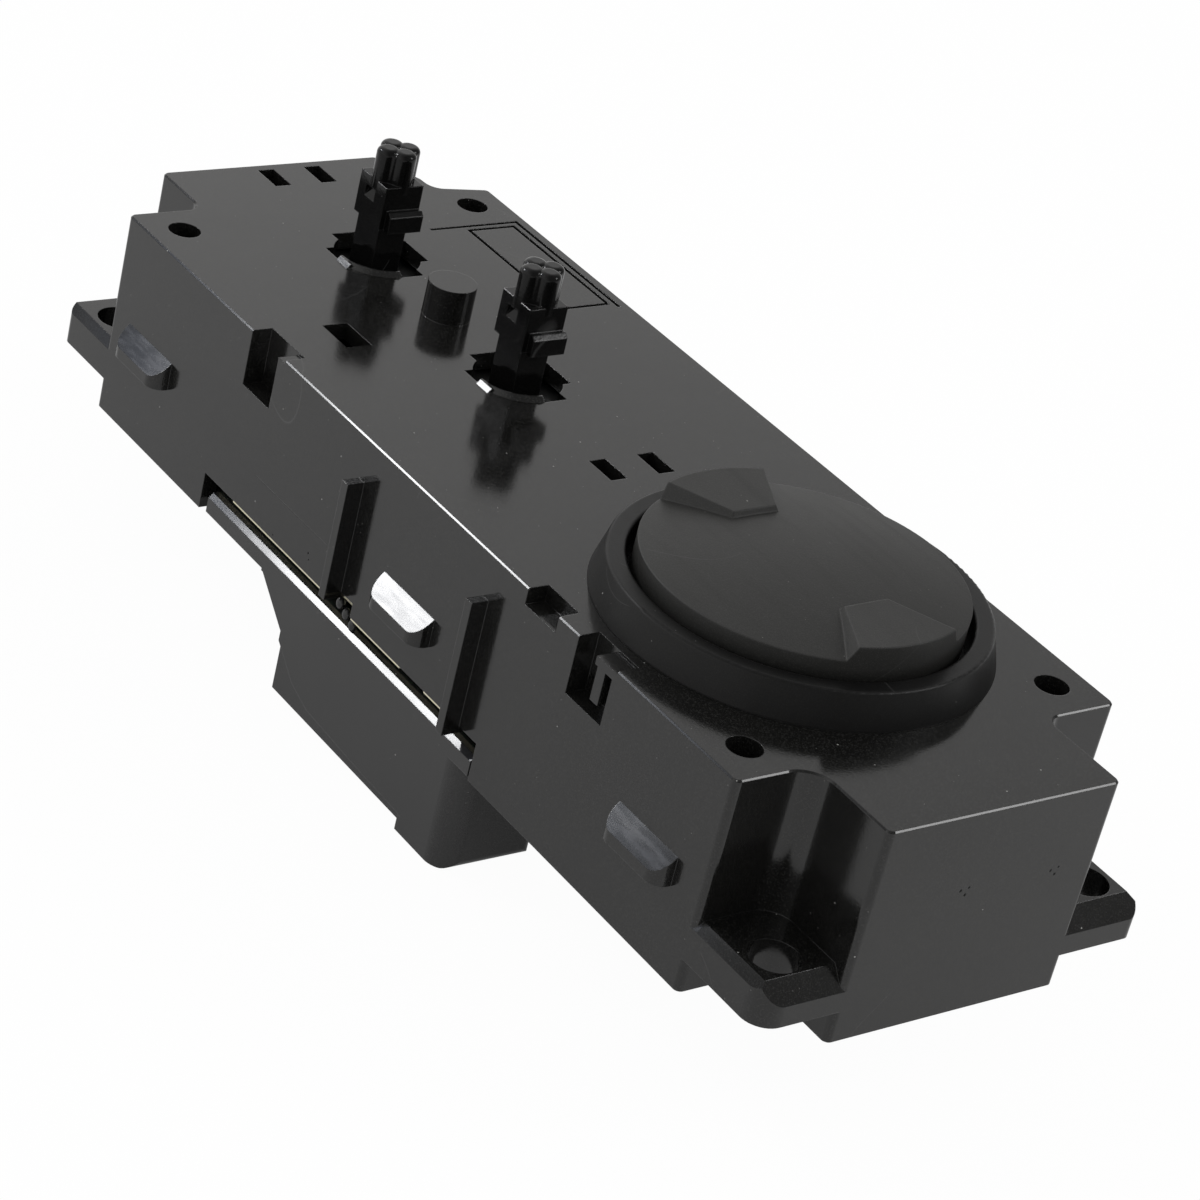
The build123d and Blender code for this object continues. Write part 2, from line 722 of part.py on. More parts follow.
def knob_cap():
    rise = knob_crown - knob_rim
    ball = (knob_radius ** 2 + rise ** 2) / (2 * rise)
    body = Cylinder(knob_radius, knob_crown - knob_bottom)
    body = Pos(0, 0, (knob_crown + knob_bottom) / 2) * body
    dome = Pos(0, 0, knob_crown - ball) * Sphere(ball)
    plain = body & dome
    inside = Pos(0, 0, (knob_rim - knob_shell + knob_bottom) / 2)
    inside *= Cylinder(knob_radius - knob_shell, knob_rim - knob_shell - knob_bottom)
    far = knob_radius + root
    half_far = pad_half + (far - pad_from) * tan(radians(pad_flare))
    pad = Polygon((pad_from, -pad_half), (far, -half_far), (far, half_far), (pad_from, pad_half), align=None)
    pads = extrude(Pos(0, 0, pad_top) * pad, knob_crown - knob_rim + root, dir=(0, 0, -1), taper=-pad_slope)
    pads += Rot(0, 0, 180) * pads
    pads &= Cylinder(knob_radius, 4 * pad_top)
    pads -= Cylinder(knob_radius + root, 2 * (knob_rim - root))
    body = plain + pads - inside
    body += Pos(0, 0, (knob_bottom + knob_rim) / 2) * Cylinder(knob_socket, knob_rim - knob_bottom)
    neck_room = knob_neck + seat_gap
    body -= Pos(0, 0, knob_neck_top / 2) * Cylinder(neck_room, knob_neck_top + seat_gap * 2)
    return Pos(knob_x, row, top_face) * body


os.makedirs("parts", exist_ok=True)
save(housing(), "housing")
save(base_cover(), "base_cover")
save(circuit_board(), "circuit_board")
save(board_parts(), "board_parts")
save(terminals(), "connector_terminals")
save(cover_screws(), "cover_screws")
save(bezel_ring(), "bezel_ring")
save(knob_cap(), "knob_cap")
units = [("stem_1", stem_x[0], stem_tilt), ("stem_2", stem_x[1], stem_tilt), ("knob", knob_x, knob_tilt)]
for name, x, tilt in units:
    save(carrier(x), f"{name}_carrier")
    save(gimbal(x), f"{name}_gimbal")
    save(pivot_pin(x), f"{name}_pivot_pin")
    save(slider_x(x, tilt), f"{name}_slider_x")
    save(slider_y(x, tilt), f"{name}_slider_y")
    save(contacts_x(x), f"{name}_contacts_x")
    save(contacts_y(x), f"{name}_contacts_y")
    save(return_spring(x), f"{name}_return_spring")
save(stem(stem_x[0]), "stem_1_lever")
save(stem(stem_x[1]), "stem_2_lever")
save(knob_lever(), "knob_lever")
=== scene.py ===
import json

import bmesh
import bpy
from mathutils import Matrix, Vector


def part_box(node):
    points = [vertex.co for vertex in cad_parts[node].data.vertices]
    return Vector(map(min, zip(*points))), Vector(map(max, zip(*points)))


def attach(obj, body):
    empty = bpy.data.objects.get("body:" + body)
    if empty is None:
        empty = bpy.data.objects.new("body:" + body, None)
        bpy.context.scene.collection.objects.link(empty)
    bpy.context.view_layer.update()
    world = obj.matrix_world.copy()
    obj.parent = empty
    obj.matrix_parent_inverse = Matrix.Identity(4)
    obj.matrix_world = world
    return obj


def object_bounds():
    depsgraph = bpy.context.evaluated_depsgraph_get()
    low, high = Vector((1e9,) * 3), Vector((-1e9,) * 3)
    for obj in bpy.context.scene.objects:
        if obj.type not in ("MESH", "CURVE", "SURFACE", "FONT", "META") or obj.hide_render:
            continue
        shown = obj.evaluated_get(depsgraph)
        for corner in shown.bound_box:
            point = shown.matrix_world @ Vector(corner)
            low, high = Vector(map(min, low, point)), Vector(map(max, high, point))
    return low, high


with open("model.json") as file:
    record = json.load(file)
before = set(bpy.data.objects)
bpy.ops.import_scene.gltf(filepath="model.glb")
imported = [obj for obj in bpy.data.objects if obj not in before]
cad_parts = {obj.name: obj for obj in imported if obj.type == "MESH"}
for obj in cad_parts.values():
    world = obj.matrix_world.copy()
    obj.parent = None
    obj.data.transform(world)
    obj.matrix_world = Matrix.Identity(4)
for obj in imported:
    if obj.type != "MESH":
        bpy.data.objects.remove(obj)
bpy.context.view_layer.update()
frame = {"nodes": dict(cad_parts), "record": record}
nodes = frame["nodes"]
print("frame loaded:", len(nodes), "nodes")


# A wire is a node's output. Arithmetic on wires adds Math nodes.
class Wire:
    def __init__(self, tree, socket):
        self.tree = tree
        self.socket = socket

    def calc(self, operation, first, second=0.0):
        return self.tree.node("ShaderNodeMath", {"operation": operation}, {0: first, 1: second})

    def __add__(self, other):
        return self.calc("ADD", self, other)

    def __mul__(self, other):
        return self.calc("MULTIPLY", self, other)

    def __sub__(self, other):
        return self.calc("SUBTRACT", self, other)

    def __rsub__(self, other):
        return self.calc("SUBTRACT", other, self)

    def __lt__(self, other):
        return self.calc("LESS_THAN", self, other)

    def __gt__(self, other):
        return self.calc("GREATER_THAN", self, other)

    def __abs__(self):
        return self.calc("ABSOLUTE", self)

    __radd__ = __add__
    __rmul__ = __mul__


class Tree:
    def __init__(self, nodeTree):
        self.nodeTree = nodeTree

    # any node: its settings, then a value or a wire for each socket; gives one output
    def node(self, kind, settings=None, sockets=None, out=0):
        made = self.nodeTree.nodes.new(kind)
        for key, value in (settings or {}).items():
            setattr(made, key, value)
        for key, value in (sockets or {}).items():
            if isinstance(value, Wire):
                self.nodeTree.links.new(value.socket, made.inputs[key])
            else:
                made.inputs[key].default_value = value
        return Wire(self, made.outputs[out]) if out is not None else None

    def vectors(self, operation, sockets, out="Vector"):
        return self.node("ShaderNodeVectorMath", {"operation": operation}, sockets, out)

    # a value brought from one span to another and held inside it
    def ramp(self, value, low, high, start=0.0, end=1.0):
        sockets = {0: value, 1: low, 2: high, 3: start, 4: end}
        return self.node("ShaderNodeMapRange", {"clamp": True}, sockets)

    def blend(self, factor, first, second):
        return self.node("ShaderNodeMixShader", None, {0: factor, 1: first, 2: second})

    def ray(self, kind):
        return self.node("ShaderNodeLightPath", out=kind)


# A finish is one material. Its patterns read the piece's own place in metres.
class Finish(Tree):
    def __init__(self, name):
        self.material = bpy.data.materials.new(name)
        self.material.use_nodes = True
        super().__init__(self.material.node_tree)
        self.nodeTree.nodes.clear()
        self.place = self.node("ShaderNodeTexCoord", out="Object")

    def noise(self, scale, detail=2.0, place=None):
        sockets = {"Vector": place or self.place, "Scale": scale, "Detail": detail}
        return self.node("ShaderNodeTexNoise", None, sockets)

    def stretched(self, x, y, z):
        return self.node("ShaderNodeMapping", None, {"Vector": self.place, "Scale": (x, y, z)})

    def colour(self, factor, first, second):
        sockets = {0: factor, 6: first, 7: second}
        return self.node("ShaderNodeMix", {"data_type": "RGBA"}, sockets, out=2)

    def axis(self, number, vector=None):
        return self.node("ShaderNodeSeparateXYZ", None, {0: vector or self.place}, out=number)

    def facing(self):
        return self.node("ShaderNodeNewGeometry", out="Normal")

    # sparse round dots in a random grid, with their spacing and radius in metres
    def specks(self, apart, radius, share):
        scale = 1.0 / apart
        near = {"Vector": self.place, "Scale": scale}
        distance = self.node("ShaderNodeTexVoronoi", None, near, out="Distance")
        cell = self.node("ShaderNodeTexVoronoi", None, near, out="Color")
        pick = self.node("ShaderNodeSeparateColor", None, {0: cell}, out=0)
        return (distance < radius * scale) * (pick < share)

    # thin lines along the contours of a noise, kept in a few patches
    def hairlines(self, scale, share, thin=0.00004):
        line = self.ramp(abs(self.noise(scale, 0.0) - 0.5), 0.0, scale * thin, 1.0, 0.0)
        return line * self.ramp(self.noise(scale * 1.7, 1.0), 1.0 - share, 1.02 - share)

    # faces that lean at 45 degrees along Y, such as the wedges' outer faces
    def slope(self):
        normal = self.facing()
        return self.ramp(abs(self.axis(1, normal) * self.axis(2, normal)), 0.45, 0.49)

    # a fine level line across the front wall
    def seam(self, start, end, height, frontWall, fadeSpan):
        x = self.axis(0)
        line = self.ramp(abs(self.axis(2) - height), *fadeSpan, 1.0, 0.0)
        return line * (x > start) * (x < end) * (self.axis(1) < frontWall)

    def spot(self, point, radius):
        away = self.vectors("DISTANCE", {0: self.place, 1: point}, "Value")
        return self.ramp(away, radius * 0.7, radius, 1.0, 0.0)

    def rounded(self, radius):
        return self.node("ShaderNodeBevel", {"samples": 6}, {"Radius": radius})

    # how far the rounded normal leans from the plain one: more than nothing only at edges
    def edges(self, roundNormal):
        return 1.0 - self.vectors("DOT_PRODUCT", {0: roundNormal, 1: self.facing()}, "Value")

    # the rounded normal of a level edge, held at 45 degrees as on a small chamfer
    def broken(self, normal, edge):
        up = self.axis(2, normal)
        level = self.vectors("NORMALIZE", {0: self.vectors("MULTIPLY", {0: normal, 1: (1.0, 1.0, 0.0)})})
        tilted = self.vectors("ADD", {0: level, 1: (0.0, 0.0, 1.0)})
        share = self.ramp(up, 0.2, 0.4) * self.ramp(up, 0.85, 0.96, 1.0, 0.0) * self.ramp(edge, 0.05, 0.2)
        mixed = self.node("ShaderNodeMix", {"data_type": "VECTOR"}, {0: share, 4: normal, 5: tilted}, out=1)
        return self.vectors("NORMALIZE", {0: mixed})

    def bump(self, height, distance, normal):
        return self.node("ShaderNodeBump", None, {"Height": height, "Distance": distance, "Normal": normal})

    def close(self, sockets):
        shader = self.node("ShaderNodeBsdfPrincipled", None, sockets)
        self.node("ShaderNodeOutputMaterial", None, {"Surface": shader}, out=None)
        return self.material


def grey(value, warm=0.0):
    return (value * (1 + warm), value, value * (1 - warm), 1.0)


# moulded plastic, from polished to spark-eroded grain
def moulding(name, look):
    finish = Finish(name)
    cloud = finish.noise(look["cloudScale"], 3.0)
    grain = finish.noise(look["grainScale"], 4.0)
    fine = finish.noise(look["grainScale"] * look["fineTimes"], 2.0)
    scuff = finish.noise(look["scuffScale"], 6.0, finish.stretched(*look["scuffAlong"]))
    streak = finish.noise(look["streakScale"], 5.0, finish.stretched(*look["streakAlong"]))
    hair = finish.hairlines(look["hairScale"], look["hairShare"])
    dust = finish.specks(look["dustApart"], look["dustRadius"], look["dustShare"])
    closer, smaller, fewer = look["lintOfDust"]
    lint = finish.specks(look["dustApart"] * closer, look["dustRadius"] * smaller, look["dustShare"] * fewer)

    # edges, with a painted highlight, and the 45 degree faces where they are rubbed and carry a painted
    # sheen
    rounded = finish.rounded(look["edgeRadius"])
    edge = finish.ramp(finish.edges(rounded), *look["edgeSpan"])
    if look["brokenEdges"]:
        rounded = finish.broken(rounded, edge)
    slope = finish.slope()
    offEdge = abs(finish.axis(2) - look["edgeHeight"]) > look["edgeBand"]
    rubAndSheenReach = (abs(finish.axis(0)) < look["rubReach"]) * offEdge
    rubAndSheen = slope * finish.ramp(streak, *look["streakSpan"]) * rubAndSheenReach

    # colour, in layers
    tone = finish.colour(finish.ramp(cloud, *look["cloudSpan"]), look["colour"], look["colourWorn"])
    fleck = finish.ramp(fine, *look["fleckSpan"])
    tone = finish.colour(fleck * look["fleckShow"], tone, look["fleckColour"])
    # painted highlight: the rounded edges made paler in colour, standing in for the light they catch
    tone = finish.colour(edge * look["edgeHighlightShow"], tone, look["edgeHighlightColour"])
    # painted sheen: the rubbed 45 degree faces made paler and bluer, partly real rubbing and partly the
    # glint of the lamps they face
    tone = finish.colour(rubAndSheen * look["rubSheenShow"], tone, look["rubSheenColour"])
    tone = finish.colour(hair * look["hairShow"], tone, look["hairColour"])
    tone = finish.colour(dust * look["dustShow"] + lint * look["lintShow"], tone, look["dustColour"])

    # gloss and relief
    rough = finish.ramp(cloud, *look["glossSpan"], *look["roughness"])
    rough = rough + finish.ramp(scuff, *look["scuffSpan"], 0.0, look["scuff"])
    rough = rough + dust * look["dustRough"] + rubAndSheen * look["rubRough"]
    relief = grain * look["grainShare"] + fine * (1.0 - look["grainShare"])
    relief = relief * (1.0 - slope * look["slopeSmooth"])
    normal = finish.bump(relief, look["grainDepth"], rounded)
    normal = finish.bump(cloud, look["waveDepth"], normal)

    # small pits and a mould seam, where the look names them, both darkened with painted shade
    for point, radius in look["pits"]:
        hole = finish.spot(point, radius)
        normal = finish.bump(1.0 - hole, radius * look["pitDepth"], normal)
        # painted shade: each pit darkened in colour, and made duller
        tone = finish.colour(hole * look["pitShadeAndDull"], tone, look["pitShadeColour"])
        rough = rough + hole * look["pitShadeAndDull"]
    for start, end, height in look["seams"]:
        line = finish.seam(start, end, height, look["frontWall"], look["seamSpan"])
        normal = finish.bump(1.0 - line, look["seamDepth"], normal)
        # painted shade: the seam's groove darkened in colour
        tone = finish.colour(line * look["seamShadeShow"], tone, look["seamShadeColour"])
    return finish.close({"Base Color": tone, "Roughness": rough, "Normal": normal, "IOR": look["ior"]})


# Lengths are in metres, and a scale is in patterns to the metre.
glossLook = {
    "colour": (0.0040, 0.0040, 0.0038, 1.0),
    "colourWorn": (0.0058, 0.0058, 0.0054, 1.0),
    "ior": 1.5,
    "cloudScale": 45.0,                  # slow changes of tone and gloss
    "cloudSpan": (0.35, 0.65),
    "glossSpan": (0.3, 0.7),
    "roughness": (0.10, 0.14),
    "waveDepth": 0.00004,
    "grainScale": 2600.0,                # the grain, and a finer one mixed in
    "fineTimes": 2.2,
    "grainShare": 0.7,
    "grainDepth": 0.0000065,
    "slopeSmooth": 0.85,                 # share of the grain that 45 degree faces lose
    "fleckSpan": (0.50, 0.72),           # pale flecks, at the tops of the finer grain
    "fleckColour": (0.046, 0.046, 0.044, 1.0),
    "fleckShow": 0.38,
    "edgeRadius": 0.00013,               # rounded edges, with a painted highlight that makes them a little paler
    "edgeSpan": (0.0, 0.25),
    "edgeHighlightColour": (0.020, 0.020, 0.020, 1.0),
    "edgeHighlightShow": 0.5,
    "brokenEdges": False,
    "scuffScale": 60.0,                  # dull scuffs
    "scuffAlong": (1.0, 9.0, 4.0),
    "scuffSpan": (0.5, 0.8),
    "scuff": 0.05,
    "streakScale": 1300.0,               # rubbed streaks on 45 degree faces, with a painted sheen
    "streakAlong": (0.22, 1.0, 1.0),
    "streakSpan": (0.40, 0.60),
    "rubReach": 0.062,                   # as far as this from the middle
    "edgeHeight": 0.0222,                # the top edge's chamfer stays clean
    "edgeBand": 0.00016,
    "rubSheenShow": 0.8,
    "rubSheenColour": (0.026, 0.028, 0.034, 1.0),
    "rubRough": 0.03,
    "hairScale": 34.0,                   # hairline scratches
    "hairShare": 0.42,
    "hairColour": (0.040, 0.040, 0.040, 1.0),
    "hairShow": 0.7,
    "dustColour": (0.55, 0.55, 0.53, 1.0),
    "dustApart": 0.0021,
    "dustRadius": 0.00010,
    "dustShare": 0.22,
    "dustShow": 0.42,
    "dustRough": 0.4,
    "lintOfDust": (0.37, 0.55, 0.6),     # closer, smaller and fewer specks than the dust
    "lintShow": 0.24,
    "pits": [],                          # middle and radius of each
    "pitDepth": 0.6,
    # painted shade inside the pits
    "pitShadeColour": (0.002, 0.002, 0.002, 1.0),
    "pitShadeAndDull": 0.8,
    "seams": [],                         # start, end and height of each, on the front wall
    "frontWall": -0.0255,
    "seamSpan": (0.00002, 0.00007),
    "seamDepth": 0.00003,
    # painted shade along the seam
    "seamShadeColour": (0.001, 0.001, 0.001, 1.0),
    "seamShadeShow": 0.8,
}
# the front wall's seam, and the pits on that wall and on the end face
housingLook = dict(glossLook, seams=[(-0.0278, -0.0117, 0.0063)], pits=[
    ((-0.0149, -0.0261, 0.0034), 0.00018),
    ((-0.0146, -0.0261, 0.0027), 0.00014),
    ((-0.0223, -0.0261, 0.0015), 0.00012),
    ((0.0740, -0.00315, 0.01255), 0.00022),
    ((0.0740, -0.00235, 0.01190), 0.00022),
    ((0.0740, -0.00205, 0.01275), 0.00018),
    ((0.0740, 0.00945, 0.01240), 0.00020),
    ((0.0740, 0.01020, 0.01180), 0.00020),
    ((0.0740, 0.01050, 0.01265), 0.00016),
])
# the base cover: glossier, with less of the rubbed and painted sheen on its 45 degree faces
baseLook = dict(glossLook, roughness=(0.08, 0.11), colour=(0.0150, 0.0150, 0.0152, 1.0),
                colourWorn=(0.0185, 0.0185, 0.0185, 1.0), rubRough=0.0, streakScale=300.0,
                grainDepth=0.0000004, rubSheenShow=0.4)
leverLook = dict(glossLook, roughness=(0.09, 0.13), colour=(0.0022, 0.0022, 0.0022, 1.0),
                 colourWorn=(0.0032, 0.0032, 0.0032, 1.0), edgeRadius=0.00020, brokenEdges=True,
                 dustShare=0.08, fleckShow=0.08, ior=1.32)
# the bezel and cap carry a stronger painted highlight on their rounded edges
bezelLook = dict(glossLook, roughness=(0.34, 0.42), colour=(0.0028, 0.0028, 0.0028, 1.0),
                 colourWorn=(0.0040, 0.0040, 0.0038, 1.0), grainScale=3400.0, grainDepth=0.000012,
                 edgeRadius=0.0003, edgeHighlightShow=0.8, edgeHighlightColour=(0.035, 0.035, 0.034, 1.0), dustShare=0.10,
                 rubSheenShow=0.0, rubRough=0.0, fleckShow=0.12, ior=1.32)
capLook = dict(bezelLook, roughness=(0.46, 0.54), colour=(0.0110, 0.0110, 0.0101, 1.0),
               colourWorn=(0.0138, 0.0138, 0.0128, 1.0), grainDepth=0.000022, fleckShow=0.5, ior=1.45,
               fleckColour=(0.040, 0.040, 0.037, 1.0))
innerLook = dict(glossLook, roughness=(0.38, 0.46), colour=(0.012, 0.012, 0.012, 1.0))
# the pale slider's rounded edges get a paler painted highlight too
paleLook = dict(glossLook, roughness=(0.35, 0.45), fleckShow=0.0, colour=(0.62, 0.60, 0.54, 1.0),
                colourWorn=(0.56, 0.54, 0.48, 1.0), edgeHighlightColour=(0.7, 0.68, 0.62, 1.0),
                dustColour=(0.2, 0.19, 0.17, 1.0), grainDepth=0.000006)


# turned, drawn or pressed metal
def metal(name, look):
    finish = Finish(name)
    cloud = finish.noise(look["cloudScale"], 4.0)
    line = finish.noise(look["lineScale"], 2.0, finish.stretched(*look["lineAlong"]))
    stain = finish.ramp(finish.noise(look["cloudScale"] * look["stainTimes"], 5.0), *look["stainSpan"])
    rounded = finish.rounded(look["edgeRadius"])
    tone = finish.colour(finish.ramp(cloud, *look["cloudSpan"]), look["colour"], look["colourWorn"])
    tone = finish.colour(stain * look["stainShow"], tone, look["stainColour"])
    rough = finish.ramp(cloud, *look["glossSpan"], *look["roughness"]) + stain * look["stainRough"]
    normal = finish.bump(line, look["lineDepth"], rounded)
    return finish.close({"Base Color": tone, "Roughness": rough, "Normal": normal, "Metallic": 1.0})


steelLook = {
    "colour": (0.56, 0.57, 0.58, 1.0),
    "colourWorn": (0.46, 0.46, 0.46, 1.0),
    "cloudScale": 500.0,
    "cloudSpan": (0.35, 0.65),
    "glossSpan": (0.3, 0.7),
    "roughness": (0.22, 0.34),
    "edgeRadius": 0.00008,
    "lineScale": 4000.0,                 # tool or drawing marks
    "lineAlong": (1.0, 1.0, 0.08),
    "lineDepth": 0.000004,
    "stainTimes": 2.3,                   # stains, smaller than the clouds
    "stainSpan": (0.52, 0.72),
    "stainColour": (0.24, 0.22, 0.20, 1.0),
    "stainShow": 0.35,
    "stainRough": 0.15,
}
screwLook = dict(steelLook, colour=(0.60, 0.60, 0.57, 1.0), colourWorn=(0.50, 0.49, 0.46, 1.0))
springLook = dict(steelLook, lineAlong=(1.0, 1.0, 1.0), colour=(0.50, 0.50, 0.51, 1.0))
tinLook = dict(steelLook, colour=(0.70, 0.69, 0.66, 1.0), colourWorn=(0.62, 0.60, 0.56, 1.0))
copperLook = dict(steelLook, colour=(0.80, 0.47, 0.30, 1.0), colourWorn=(0.66, 0.36, 0.22, 1.0),
                  stainColour=(0.30, 0.16, 0.10, 1.0), lineAlong=(0.08, 1.0, 1.0))


boardLook = {
    "mask": (0.010, 0.075, 0.030, 1.0),
    "maskOverCopper": (0.022, 0.125, 0.052, 1.0),
    "edge": (0.74, 0.72, 0.42, 1.0),     # bare glass and resin at the board's sides
    "edgeFibre": grey(0.55, 0.10),
    "trackScale": 210.0,
    "trackSpan": (0.09, 0.11),
    "trackRise": 0.6,
    "weaveScale": 1800.0,
    "weaveRise": 0.1,
    "relief": 0.00003,
    "sideSpan": (0.3, 0.5),
    "edgeRadius": 0.00008,
    "roughness": 0.28,
}


# printed circuit board: solder mask over copper tracks, with bare edges
def circuitBoard(name, look):
    finish = Finish(name)
    cell = {"Vector": finish.place, "Scale": look["trackScale"]}
    tracks = finish.node("ShaderNodeTexVoronoi", {"feature": "DISTANCE_TO_EDGE"}, cell, out="Distance")
    copper = finish.ramp(tracks, *look["trackSpan"])
    weave = finish.noise(look["weaveScale"])
    side = finish.ramp(abs(finish.axis(2, finish.facing())), *look["sideSpan"], 1.0, 0.0)
    tone = finish.colour(copper, look["mask"], look["maskOverCopper"])
    tone = finish.colour(side, tone, finish.colour(weave, look["edge"], look["edgeFibre"]))
    height = copper * look["trackRise"] + weave * look["weaveRise"]
    normal = finish.bump(height, look["relief"], finish.rounded(look["edgeRadius"]))
    return finish.close({"Base Color": tone, "Roughness": look["roughness"], "Normal": normal})


finishes = {
    "housing_plastic": moulding("housingBlack", housingLook),
    "base_plastic": moulding("baseBlack", baseLook),
    "bezel_plastic": moulding("bezelGrain", bezelLook),
    "cap_plastic": moulding("capGrain", capLook),
    "lever_plastic": moulding("leverBlack", leverLook),
    "carrier_plastic": moulding("carrierBlack", innerLook),
    "gimbal_plastic": moulding("gimbalBlack", innerLook),
    "slider_plastic": moulding("sliderPale", paleLook),
    "component_body": moulding("componentBlack", innerLook),
    "board_green": circuitBoard("boardGreen", boardLook),
    "tinned_brass": metal("tinnedBrass", tinLook),
    "contact_copper": metal("contactCopper", copperLook),
    "screw_steel": metal("screwSteel", screwLook),
    "pin_steel": metal("pinSteel", steelLook),
    "spring_steel": metal("springSteel", springLook),
}

# one finish for every node of the frame
for row in frame["record"]["subparts"]:
    if row["node"] in nodes:
        materials = nodes[row["node"]].data.materials
        materials.clear()
        materials.append(finishes[row["material_slot"]])
print("finishes made:", len(finishes))


# A piece of the scene's own: a mesh in place, its body, its slot and its finish.
def addPiece(name, mesh, slot, smooth=True):
    piece = bpy.data.objects.new(name, mesh)
    bpy.context.scene.collection.objects.link(piece)
    mesh.materials.clear()
    mesh.materials.append(finishes[slot])
    if smooth:
        mesh.shade_smooth()
    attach(piece, "module")


# Geometry Nodes: a shape made from named sizes, turned into a plain mesh
def grown(name, slot, sizes, build):
    group = bpy.data.node_groups.new(name, "GeometryNodeTree")
    tree = Tree(group)
    sockets = {}
    for label, value in sizes.items():
        kind = "NodeSocketInt" if isinstance(value, int) else "NodeSocketFloat"
        sockets[label] = group.interface.new_socket(label, in_out="INPUT", socket_type=kind)
    group.interface.new_socket("Geometry", in_out="OUTPUT", socket_type="NodeSocketGeometry")
    entry = group.nodes.new("NodeGroupInput")
    shape = build(tree, {label: Wire(tree, entry.outputs[label]) for label in sizes})
    real = tree.node("GeometryNodeRealizeInstances", None, {0: shape})
    painted = tree.node("GeometryNodeSetMaterial", None, {"Geometry": real, "Material": finishes[slot]})
    tree.node("NodeGroupOutput", None, {"Geometry": painted}, out=None)
    host = bpy.data.objects.new(name, bpy.data.meshes.new(name))
    bpy.context.scene.collection.objects.link(host)
    modifier = host.modifiers.new(name, "NODES")
    modifier.node_group = group
    for label, value in sizes.items():
        modifier[sockets[label].identifier] = value
    result = bpy.data.meshes.new_from_object(host.evaluated_get(bpy.context.evaluated_depsgraph_get()))
    host.modifiers.remove(modifier)
    bpy.data.objects.remove(host)
    return result


def vector(tree, x, y, z):
    return tree.node("ShaderNodeCombineXYZ", None, {0: x, 1: y, 2: z})


# a level grid of one shape, with its middle at x, y and z
def gridOf(tree, size, along, across, shape):
    grid = tree.node("GeometryNodeMeshGrid", None, {
        "Size X": along, "Size Y": across, "Vertices X": size["columns"], "Vertices Y": size["rows"]})
    copies = tree.node("GeometryNodeInstanceOnPoints", None, {"Points": grid, "Instance": shape})
    middle = vector(tree, size["x"], size["y"], size["z"])
    return tree.node("GeometryNodeTransform", None, {"Geometry": copies, "Translation": middle})


# solder joints: one cone round the stub of each terminal, on the board's upper side
solder = {
    "columns": 8,
    "rows": 2,
    "foot": 0.00095,
    "tip": 0.00042,
    "rise": 0.00075,
    "sides": 24,
    "rings": 3,
    "terminalSide": 0.00064,
}


def makeSolder():
    low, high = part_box("connector_terminals")
    middle, spread = (low + high) / 2, high - low
    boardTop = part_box("circuit_board")[1].z
    sizes = dict(solder, length=spread.x, width=spread.y, x=middle.x, y=middle.y, z=boardTop)

    def build(tree, size):
        cone = tree.node("GeometryNodeMeshCone", None, {
            "Vertices": size["sides"], "Side Segments": size["rings"], "Radius Top": size["tip"],
            "Radius Bottom": size["foot"], "Depth": size["rise"]})
        along, across = size["length"] - size["terminalSide"], size["width"] - size["terminalSide"]
        return gridOf(tree, size, along, across, cone)

    addPiece("solder_joints", grown("solderJoints", "tinned_brass", sizes, build), "tinned_brass")


# latch beads: three rounded bits of the base between its flange and the end of the left rib
latchBeads = {
    "count": 3,
    "radius": 0.00062,
    "widthY": 0.8,
    "heightZ": 1.25,
    "x": -0.0079,
    "y": -0.0254,
    "z": 0.0008,
    "stepX": 0.0015,
    "stepZ": -0.0006,
    "segments": 28,
    "rings": 16,
}


def makeLatchBeads():
    def build(tree, size):
        line = tree.node("GeometryNodeMeshLine", {"mode": "OFFSET"}, {
            "Count": size["count"],
            "Start Location": vector(tree, size["x"], size["y"], size["z"]),
            "Offset": vector(tree, size["stepX"], 0.0, size["stepZ"])})
        ball = tree.node("GeometryNodeMeshUVSphere", None, {
            "Segments": size["segments"], "Rings": size["rings"], "Radius": size["radius"]})
        stretch = vector(tree, 1.0, size["widthY"], size["heightZ"])
        return tree.node("GeometryNodeInstanceOnPoints", None, {
            "Points": line, "Instance": ball, "Scale": stretch})

    addPiece("latch_beads", grown("latchBeads", "base_plastic", latchBeads, build), "base_plastic")


# ejector marks: shallow discs left on the underside of the base cover
ejectorMarks = {
    "columns": 6,
    "rows": 2,
    "radius": 0.0016,
    "thick": 0.00012,
    "sides": 40,
    "lengthShare": 0.72,                 # how much of the cover's length and width the grid takes
    "widthShare": 0.30,
    "x": 0.0,
    "y": 0.0075,
}


def makeEjectorMarks():
    low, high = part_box("base_cover")
    spread = high - low
    sizes = dict(ejectorMarks, length=spread.x, width=spread.y, z=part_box("housing")[0].z)

    def build(tree, size):
        disc = tree.node("GeometryNodeMeshCylinder", None, {
            "Vertices": size["sides"], "Radius": size["radius"], "Depth": size["thick"]})
        along, across = size["length"] * size["lengthShare"], size["width"] * size["widthShare"]
        return gridOf(tree, size, along, across, disc)

    addPiece("ejector_marks", grown("ejectorMarks", "base_plastic", sizes, build), "base_plastic")


# The board's front edge: three tongues that show as a pale line under the front wall.
tongues = {
    "spans": ((-0.0315, -0.0114), (-0.0047, 0.0058), (0.0109, 0.0144)),
    "front": -0.02602,
    "under": 0.00090,
    "thick": 0.00028,
    "overlap": 0.0002,                   # how far they reach into the board
}


def solidBox(shape, low, high):
    made = bmesh.ops.create_cube(shape, size=1.0)
    middle, spread = (low + high) / 2, high - low
    for vertex in made["verts"]:
        vertex.co = Vector(c * s + m for c, s, m in zip(vertex.co, spread, middle))


